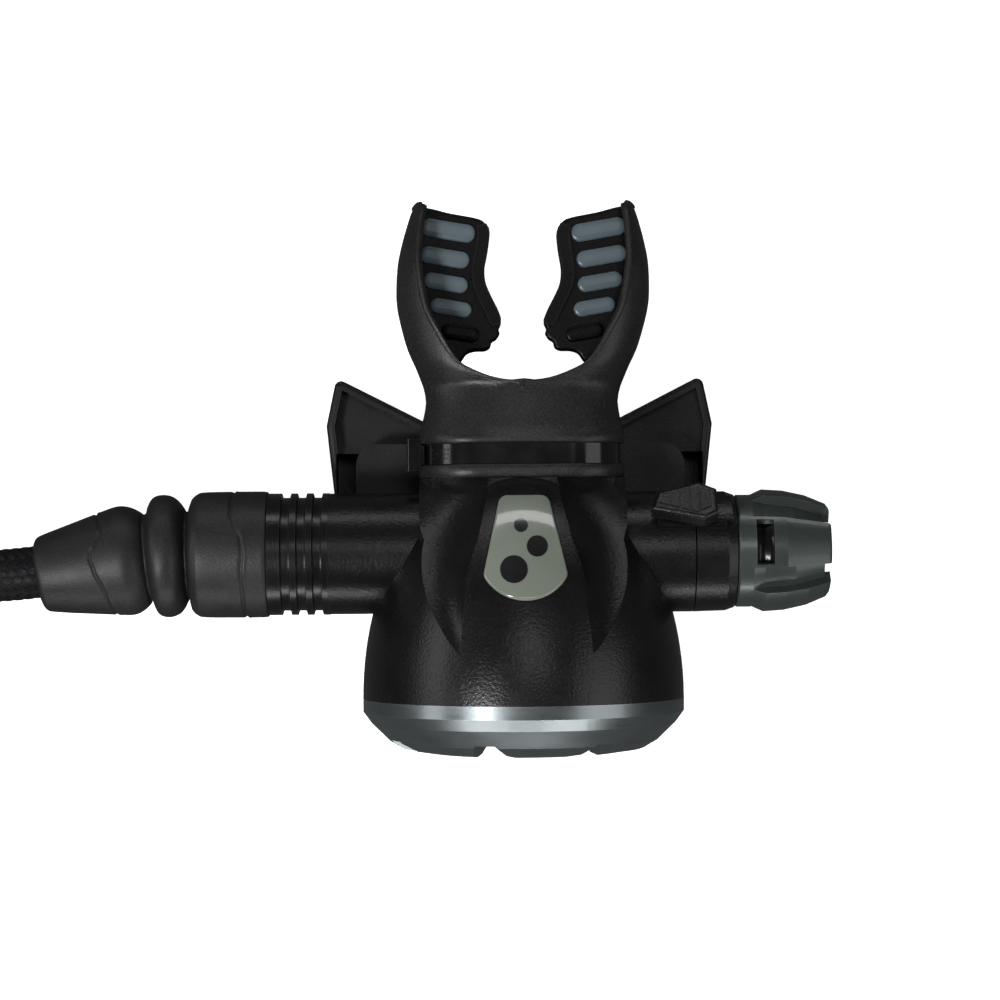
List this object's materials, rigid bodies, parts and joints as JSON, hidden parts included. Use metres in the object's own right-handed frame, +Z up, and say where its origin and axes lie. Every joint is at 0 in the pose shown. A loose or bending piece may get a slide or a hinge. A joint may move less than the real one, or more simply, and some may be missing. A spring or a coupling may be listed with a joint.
{
  "type": "scuba second-stage regulator",
  "caption": "Diving second-stage regulator with mouthpiece, purge cover, breathing-effort knob, venturi lever, exhaust tee and braided low-pressure hose.",
  "frame": {"origin": "on the surface that it stands on, under the point where the valve axis crosses the case axis, on the exhaust tee's flat underside", "axes": "+X along the valve axis from the hose to the effort knob, +Y from the purge cover to the mouthpiece, +Z up as it is worn"},
  "size_m": [0.3538, 0.1555, 0.0734],
  "materials": {
    "satin_black_plastic": "satin moulded nylon with a fine leather grain",
    "black_silicone": "matt black silicone",
    "boot_rubber": "matt moulded rubber",
    "grey_pads": "blue-grey soft insert, slightly glossy",
    "gunmetal": "smooth metallic grey",
    "purge_black": "black soft-gloss cover",
    "inner_black": "plain moulded nylon",
    "badge": "domed clear resin over pale grey",
    "ink": "black print",
    "gloss_black": "polished black nylon",
    "knob_green_grey": "dark green-grey satin",
    "clear_silicone": "translucent silicone",
    "o_ring": "black nitrile",
    "chromed_brass": "chromed brass",
    "steel": "stainless steel",
    "brass": "plain brass",
    "poppet_white": "white acetal",
    "hose_liner": "black polyurethane",
    "braid": "woven black polyester braid"
  },
  "bodies": {
    "regulator": {"case": "satin_black_plastic", "badge_lens": "badge", "badge_emblem": "ink", "cover_ring": "gunmetal", "front_grille": "inner_black", "clamp_ring": "inner_black", "diaphragm": "clear_silicone", "valve_body": "chromed_brass", "lever_pin": "steel", "orifice": "chromed_brass", "orifice_o_ring": "o_ring", "mouthpiece": "black_silicone", "bite_pads_grey": "grey_pads", "bite_pads_black": "black_silicone", "cable_tie": "gloss_black", "exhaust_tee": "satin_black_plastic", "exhaust_valve": "clear_silicone", "inlet_nut": "gloss_black", "swivel_nut": "chromed_brass", "hose_tail": "brass", "tail_o_ring": "o_ring", "hose_ferrule": "steel", "hose_root": "hose_liner", "hose_boot": "boot_rubber", "hose_lead": "braid", "hose_coil": "braid", "hose_end": "braid", "hose_tip": "hose_liner", "end_ferrule": "steel", "end_fitting": "chromed_brass", "end_o_ring": "o_ring", "poppet_spring": "steel", "purge_spring": "steel"},
    "purge": {"purge_button": "purge_black"},
    "plate": {"diaphragm_plate": "steel"},
    "lever": {"demand_lever": "steel"},
    "poppet": {"poppet": "poppet_white", "poppet_seat": "o_ring"},
    "pad": {"spring_pad": "inner_black"},
    "adjuster": {"effort_knob": "knob_green_grey", "knob_core": "gloss_black", "knob_pin": "steel", "adjust_screw": "chromed_brass", "adjuster_o_rings": "o_ring"},
    "venturi": {"venturi_ring": "satin_black_plastic", "thumb_lever": "satin_black_plastic", "thumb_pad": "black_silicone", "venturi_vane": "satin_black_plastic"}
  },
  "joints": [
    {"name": "purge_press", "type": "slide", "parent": "regulator", "child": "purge", "axis": [0, 1, 0], "range_m": [0, 0.0035], "stiffness_N_per_m": 600, "springref_m": -0.001, "deforming": ["purge_spring"]},
    {"name": "diaphragm_press", "type": "slide", "parent": "regulator", "child": "plate", "axis": [0, 1, 0], "range_m": [0, 0.0035], "deforming": ["diaphragm"]},
    {"name": "lever_tilt", "type": "hinge", "parent": "regulator", "child": "lever", "pos_m": [0.012, -0.009, 0.0366], "axis": [0, 0, -1], "range_deg": [0, 14.1]},
    {"name": "poppet_slide", "type": "slide", "parent": "regulator", "child": "poppet", "axis": [1, 0, 0], "range_m": [0, 0.00141], "deforming": ["poppet_spring"]},
    {"name": "effort_turn", "type": "hinge", "parent": "regulator", "child": "adjuster", "pos_m": [0, 0, 0.0366], "axis": [1, 0, 0], "range_deg": [-360, 360]},
    {"name": "pad_slide", "type": "slide", "parent": "regulator", "child": "pad", "axis": [1, 0, 0], "range_m": [-0.00101, 0.00101]},
    {"name": "venturi_turn", "type": "hinge", "parent": "regulator", "child": "venturi", "pos_m": [0, 0, 0.0366], "axis": [1, 0, 0], "range_deg": [0, 50]}
  ],
  "couplings": [
    {"joint": "diaphragm_press", "follows": "purge_press", "ratio": 1},
    {"joint": "lever_tilt", "follows": "purge_press", "rad_per_m": 70},
    {"joint": "poppet_slide", "follows": "purge_press", "ratio": 0.4},
    {"joint": "pad_slide", "follows": "effort_turn", "m_per_rad": -0.00016}
  ]
}
